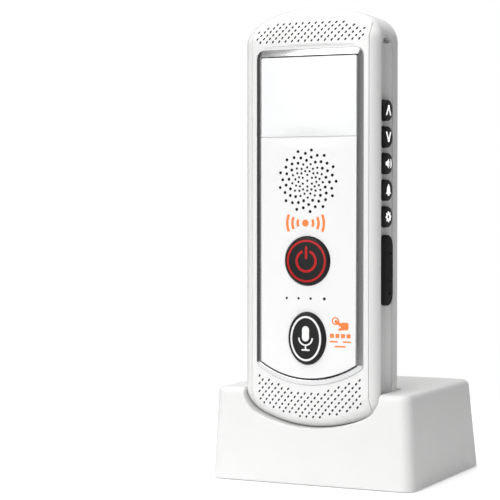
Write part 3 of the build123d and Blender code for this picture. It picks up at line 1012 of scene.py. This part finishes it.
def pressing_finger(u, v):
    """A fingertip on a round target, with the hand behind it."""
    return [
        [circle(u - 1.9, v + 1.2, 1.5, 28)[0], circle(u - 1.9, v + 1.2, 1.0, 28)[0]],
        [capsule((u - 1.7, v + 1.0), (u + 1.2, v - 1.0), 0.62)[0]],
        [rounded_box(u + 0.2, u + 3.3, v - 2.2, v + 0.7, 0.8)[0]],
        [capsule((u - 0.3, v - 2.0), (u + 1.2, v - 1.7), 0.5)[0]],
    ]


def hold_bars(u, v):
    """Dots and bars that stand for a short press and a long one."""
    shapes = [[box_around(u + x, v, 0.8, 0.8, 0.3)[0]] for x in (-3.3, -1.1, 1.1, 3.3)]
    for half_length, low in ((4.3, 2.2), (2.2, 4.0)):
        shapes.append([box_around(u, v - low, half_length, 0.3, 0.28)[0]])
    return shapes


panel_marks = {
    "call_mark": call_waves(-0.8, 99.9),
    "press_mark": pressing_finger(13.4, 62.0),
    "hold_marks": hold_bars(13.4, 57.6),
}
for name, shapes in panel_marks.items():
    ink(name, shapes, front_panel_surface, orange_ink, "handset", thickness=panel_ink_height)


# Handset: keys and cover on the side

def side_key(name, height):
    """A round cap with a rounded edge, on the flange that keeps it in."""
    body = f"{name}_button"
    low, high = span(body)
    outline = circle(middle(body)[1], height, half_size(body)[2] - side_flange)
    stations = [(low[0], side_flange), (low[0] + 0.8, side_flange), (low[0] + 0.81, 0.0)]
    stations += [(high[0] - drop, -inward) for inward, drop in quarter_turn(5, side_key_round)]
    return new_object(f"{name}_key", *along_x(outline, *stations), black_key)


def chevron(u, v, direction):
    tip = v + direction * 1.4
    return [[capsule((u + side * 1.35, v - direction * 1.5), (u, tip), 0.36)[0]] for side in (-1, 1)]


def speaker_symbol(u, v):
    cone = [(-1.9, -0.6), (-1.1, -0.6), (0.1, -1.7), (0.1, 1.7), (-1.1, 0.6), (-1.9, 0.6)]
    waves = [[arc_band(u - 0.1, v, radius, 0.42, -48, 48)] for radius in (1.15, 2.05)]
    return [[np.array(cone) + (u, v)], *waves]


def bell_symbol(u, v):
    body = [(-1.75, -1.25), (1.75, -1.25), (1.15, -0.5), (1.0, 0.7)]
    body += [(cos(angle), 0.7 + sin(angle)) for angle in np.radians(np.linspace(15, 165, 9))]
    body += [(-1.0, 0.7), (-1.15, -0.5)]
    knob, clapper = circle(u, v + 1.8, 0.32, 12)[0], arc_band(u, v - 1.3, 0.35, 0.7, 180, 360)
    return [[np.array(body) + (u, v)], [knob], [clapper]]


def gear_symbol(u, v):
    teeth = []
    for step in range(32):
        angle = 2 * pi * step / 32
        reach = 1.95 if step % 4 in (0, 1) else 1.45
        teeth.append((u + reach * cos(angle), v + reach * sin(angle)))
    return [[np.array(teeth), circle(u, v, 0.62, 20)[0]]]


symbol_stretch = np.array([1.45, 1.08])
side_symbols = {
    "scroll_up": lambda u, v: chevron(u, v, 1),
    "scroll_down": lambda u, v: chevron(u, v, -1),
    "volume": speaker_symbol,
    "alert_tone": bell_symbol,
    "settings": gear_symbol,
}
for name, height in zip(side_key_names, key_heights()):
    body = f"{name}_button"
    fit(side_key(name, height), body, body, slot="black_button_plastic")
    centre = np.array([middle(body)[1] - 0.7, height])
    shapes = side_symbols[name](*centre)
    shapes = [[centre + (loop - centre) * symbol_stretch for loop in shape] for shape in shapes]
    # The symbols take the glowing ink: painted light.
    ink(f"{name}_symbol", shapes, even(-span(body)[1][0]), painted_light_ink, body, lay=facing_side)


def strip_solid(outline, inner, face):
    edge = [(face - drop, -inward) for inward, drop in quarter_turn(5, strip_round)]
    return along_x(outline, (inner, 0.0), *edge)


def strip_outline(y, low, high, round_low):
    """A strip of the side cover. One end is a half round and the other is square."""
    under, over = (strip_half - 0.01, 0.1) if round_low else (0.1, strip_half - 0.01)
    points, outward = rounded_box(y - strip_half, y + strip_half, low, high, under, over, 0.4)
    outward[outward[:, 1] * (1 if round_low else -1) > 0, 1] = 0.0
    return points, outward


def slit(y, z, half_length, radius, face):
    """A short groove across the rubber strip."""
    groove = capsule((y - half_length, z), (y + half_length, z), radius)
    return along_x(groove, (face - 0.4, 0), (clear_x, 0))


def socket_cover():
    """The flap that closes the socket, with a notch to lift it by, and its plug."""
    low, high = span("socket_cover")
    y, z = side_key_y, low[2]
    solid = strip_solid(strip_outline(y, z, high[2] + 0.1, True), channel_floor + 0.05, high[0])
    flap = new_object("socket_cover_flap", *solid, black_rubber)
    notch = along_x(capsule((y + 2.6, z - 1.4), (y + 6.4, z + 2.4), 1.6), (26.0, 0), (clear_x, 0))
    cut(flap, notch, slit(y + 1.2, z + 9.4, 0.6, 0.25, high[0]), slit(y + 0.9, z + 4.6, 0.2, 0.6, high[0]))
    port = middle("charging_socket")
    plug = along_x(
        box_around(port[1], port[2], port_short - plug_gap, port_long - plug_gap, port_round - plug_gap),
        (low[0], 0), (channel_floor + 0.5, 0))
    return flap, new_object("socket_cover_plug", *plug, black_rubber)


flap, plug = socket_cover()
fit(flap, "socket_cover", "socket_cover", slot="black_rubber")
fit(plug, "socket_cover")


def socket_cover_anchor():
    low, high = span("socket_cover_anchor")
    slit_height = 88.5
    outline = strip_outline(side_key_y, low[2] - 0.1, high[2], False)
    solid = strip_solid(outline, channel_floor + 0.05, high[0])
    made = new_object("socket_cover_anchor_pad", *solid, black_rubber)
    return cut(made, slit(side_key_y + 1.2, slit_height, 1.7, 0.3, high[0]))


fit(socket_cover_anchor(), "handset", "socket_cover_anchor", slot="black_rubber")


# Dock

def round_cut(first, second, radius):
    """Where two fields overlap, with the edge between them rounded."""
    u, v = np.maximum(first + radius, 0), np.maximum(second + radius, 0)
    return np.minimum(np.maximum(first, second), -radius) + np.hypot(u, v)


pocket_gap, seen_gap = 0.4, 0.12
dock_wall, pocket_wall = 2.2, 2.0
side_draft, front_draft, back_lean = 1.8, 1.1, 5.8
dock_corner, dock_edge_round, pocket_edge_round = 4.5, 2.4, 0.4
pad_half_x, pad_half_y, pad_floor = 14, 7, 17.5
spare = 1.5


def dock_outline_field(x, y, z, inset):
    """Distance to the dock's drafted sides, moved in by inset."""
    rise = (z - dock_low[2]) / (dock_high[2] - dock_low[2])
    half_x = dock_high[0] - side_draft * rise - inset
    near = dock_low[1] + front_draft * rise + inset
    far = dock_high[1] - back_lean * rise - inset
    radius = dock_corner - inset
    u = np.abs(x) - half_x + radius
    v = np.abs(y - (near + far) / 2) - (far - near) / 2 + radius
    return np.hypot(np.maximum(u, 0), np.maximum(v, 0)) + np.minimum(np.maximum(u, v), 0) - radius


def pocket_field(x, y, z, gap):
    outline = -inside_outline(x, np.minimum(z, centre_height))[0] - gap
    return np.maximum(outline, y - back - gap)


def dock_field(x, y, z):
    """Negative inside the dock's shell."""
    outer = round_cut(dock_outline_field(x, y, z, 0.0), z - dock_high[2], dock_edge_round)
    outer = np.maximum(outer, dock_low[2] - spare - z)
    shell = round_cut(outer, -pocket_field(x, y, z, seen_gap), pocket_edge_round)
    room = np.maximum(dock_outline_field(x, y, z, dock_wall), z - dock_high[2] + dock_wall)
    room = np.maximum(room, -pocket_field(x, y, z, pocket_gap + pocket_wall))
    pad = np.maximum(np.abs(x) - pad_half_x, np.abs(y - contact_y) - pad_half_y)
    pad = np.maximum(pad, pad_floor - z)
    return np.maximum(shell, -np.maximum(room, -pad))


def crossings(value, axis):
    """Where a field changes sign towards the next grid point, and how far along that is."""
    ahead = np.roll(value, -1, axis)
    crossing = (value < 0) != (ahead < 0)
    crossing[tuple(-1 if a == axis else slice(None) for a in range(3))] = False
    return crossing, np.where(crossing, value / np.where(crossing, value - ahead, 1), 0)


def cell_points(value, grid, step):
    """One point in each grid cell that the surface passes, and those cells' numbers."""
    shape = np.array(value.shape) - 1
    total = np.zeros((*shape, 3))
    hits = np.zeros(shape)
    for axis in range(3):
        crossing, share = crossings(value, axis)
        spot = [grid[a] + (share * step if a == axis else 0) for a in range(3)]
        others = [a for a in range(3) if a != axis]
        for shift in ((0, 0), (0, 1), (1, 0), (1, 1)):
            cells = [slice(0, shape[a]) for a in range(3)]
            for a, s in zip(others, shift):
                cells[a] = slice(s, shape[a] + s)
            here = crossing[tuple(cells)]
            hits += here
            for a in range(3):
                total[..., a] += np.where(here, spot[a][tuple(cells)], 0)
    live = hits > 0
    number = -np.ones(shape, int)
    number[live] = np.arange(live.sum())
    return total[live] / hits[live][:, None], number


def cell_quads(value, number):
    """A quad across each grid edge that the surface crosses, joining the four cells round it."""
    shape = number.shape
    quads = []
    for axis in range(3):
        b, c = [(axis + 1) % 3, (axis + 2) % 3]
        at = np.argwhere(crossings(value, axis)[0])
        at = at[(at[:, b] > 0) & (at[:, c] > 0) & (at[:, b] < shape[b]) & (at[:, c] < shape[c])]
        ring = []
        for db, dc in ((1, 1), (0, 1), (0, 0), (1, 0)):
            cell = at.copy()
            cell[:, b] -= db
            cell[:, c] -= dc
            ring.append(number[tuple(cell.T)])
        quad = np.stack(ring, axis=1)
        leaving = value[tuple(at.T)] < 0
        quads.append(np.where(leaving[:, None], quad, quad[:, ::-1]))
    return [tuple(quad) for quad in np.concatenate(quads).tolist()]


def field_mesh(field, low, high, step):
    """The zero surface of a field, as quads whose corners lie on the surface."""
    axes = [np.arange(a, b + step, step) for a, b in zip(low, high)]
    grid = np.meshgrid(*axes, indexing="ij")
    value = field(*grid)
    points, number = cell_points(value, grid, step)
    nudge = step * 0.05
    for _ in range(3):
        here = field(*points.T)
        slope = np.stack([
            (field(*(points + nudge * unit).T) - field(*(points - nudge * unit).T)) / (2 * nudge)
            for unit in np.eye(3)], axis=1)
        points -= (here / np.maximum((slope**2).sum(1), 0.3))[:, None] * slope
    return points, cell_quads(value, number)


def dock_shell():
    margin = np.array([1.7, 1.7, 1.7 + spare])
    step = 0.75
    solid = field_mesh(dock_field, dock_low - margin, dock_high + margin, step)
    made = new_object("dock_shell_body", *solid, white_satin, 40)
    inlet = along_y(box_around(0, middle("dock_inlet")[2], port_long, port_short, port_round),
                    (dock_high[1] - 8, 0), (dock_high[1] + 1, 0))
    pins = [along_z(circle(x, contact_y, 1.05, 20), (15, 0), (30, 0)) for x in (-contact_x, contact_x)]
    below = along_z(box_around(0, 0, 60, 60, 5), (dock_low[2] - 9, 0), (dock_low[2], 0))
    return cut(made, joined([inlet, *pins]), below)


fit(dock_shell(), "dock", "dock_shell", slot="white_satin_plastic")


# Floor, light and camera

floor_radius, floor_depth = 260, 4.0
floor_look = material("floor_white", (0.95, 0.95, 0.95), 0.6, mottle=0.004)
floor_solid = plate(sharp(circle(0, 0, floor_radius, 96)[0]), even(0.0), even(floor_depth),
                    lay=facing_up)
floor = new_object("floor", *floor_solid, floor_look)


def whiten(look, lift):
    """Makes a material brighter to the camera only, so that it lights nothing."""
    tree = look.node_tree
    shader = tree.nodes["Principled BSDF"]
    shader.inputs["Emission Color"].default_value = (lift, lift, lift, 1)
    seen = tree.nodes.new("ShaderNodeLightPath").outputs["Is Camera Ray"]
    tree.links.new(seen, shader.inputs["Emission Strength"])


whiten(floor_look, 0.4)


def sky():
    """A white backdrop. As a light it is a small tent that is darker to the sides."""
    world = bpy.data.worlds.new("studio")
    scene.world = world
    world.use_nodes = True
    tree = world.node_tree
    direction = tree.nodes.new("ShaderNodeTexCoord").outputs["Generated"]
    aside = add_node(tree, "SeparateXYZ", {"Vector": direction}).outputs["X"]
    share = add_node(tree, "MapRange", {"Value": aside, "From Min": -1}).outputs["Result"]
    ramp = add_node(tree, "ValToRGB", {"Fac": share})
    stops = ramp.color_ramp.elements
    stops[0].color, stops[1].color = (0.1, 0.1, 0.1, 1), (0.4, 0.4, 0.4, 1)
    for position, grey in ((0.12, 0.14), (0.22, 0.35), (0.34, 1.0), (0.56, 1.0), (0.64, 0.42),
                           (0.74, 0.17), (0.82, 0.38)):
        stops.new(position).color = (grey, grey, grey, 1)
    tent = tree.nodes["Background"]
    feed(tree, ramp.outputs["Color"], tent.inputs["Color"])
    feed(tree, 0.75, tent.inputs["Strength"])
    backdrop = add_node(tree, "Background", {"Color": (1, 1, 1, 1)})
    seen = tree.nodes.new("ShaderNodeLightPath").outputs["Is Camera Ray"]
    blend = add_node(tree, "MixShader", {"Fac": seen})
    tree.links.new(tent.outputs["Background"], blend.inputs[1])
    tree.links.new(backdrop.outputs["Background"], blend.inputs[2])
    tree.links.new(blend.outputs["Shader"], tree.nodes["World Output"].inputs["Surface"])


def soft_light(name, place, aim, width, height, power):
    lamp = bpy.data.lights.new(name, "AREA")
    lamp.shape = "RECTANGLE"
    lamp.size, lamp.size_y = width * MM, height * MM
    lamp.energy = power
    made = bpy.data.objects.new(name, lamp)
    made.location = Vector(place) * MM
    made.rotation_mode = "QUATERNION"
    made.rotation_quaternion = (Vector(aim) - Vector(place)).to_track_quat("-Z", "Y")
    scene.collection.objects.link(made)


sky()
soft_light("key", (-180, -830, 500), aim=(0, 0, 90), width=600, height=700, power=3.95)
soft_light("overhead", (-180, -120, 850), aim=(0, 0, 0), width=700, height=700, power=4.5)

scene.view_settings.view_transform = "Standard"

camera_turn, camera_tilt = radians(26.0), radians(1.63)
camera_distance, camera_aside, camera_height = 686.98, 39.01, 108.28
focal_ratio = 3.45
across = Vector((cos(camera_turn), sin(camera_turn), 0))
ahead = Vector((-sin(camera_turn), cos(camera_turn), 0))
camera_data = bpy.data.cameras.new("camera")
camera_data.sensor_width = 36.0
camera_data.lens = focal_ratio * camera_data.sensor_width
camera_data.clip_start, camera_data.clip_end = 0.05, 20.0
camera = bpy.data.objects.new("camera", camera_data)
camera.location = (-camera_distance * ahead - camera_aside * across + Vector((0, 0, camera_height))) * MM
camera.rotation_mode = "QUATERNION"
sight = cos(camera_tilt) * ahead - sin(camera_tilt) * Vector((0, 0, 1))
camera.rotation_quaternion = sight.to_track_quat("-Z", "Y")
scene.collection.objects.link(camera)
scene.camera = camera
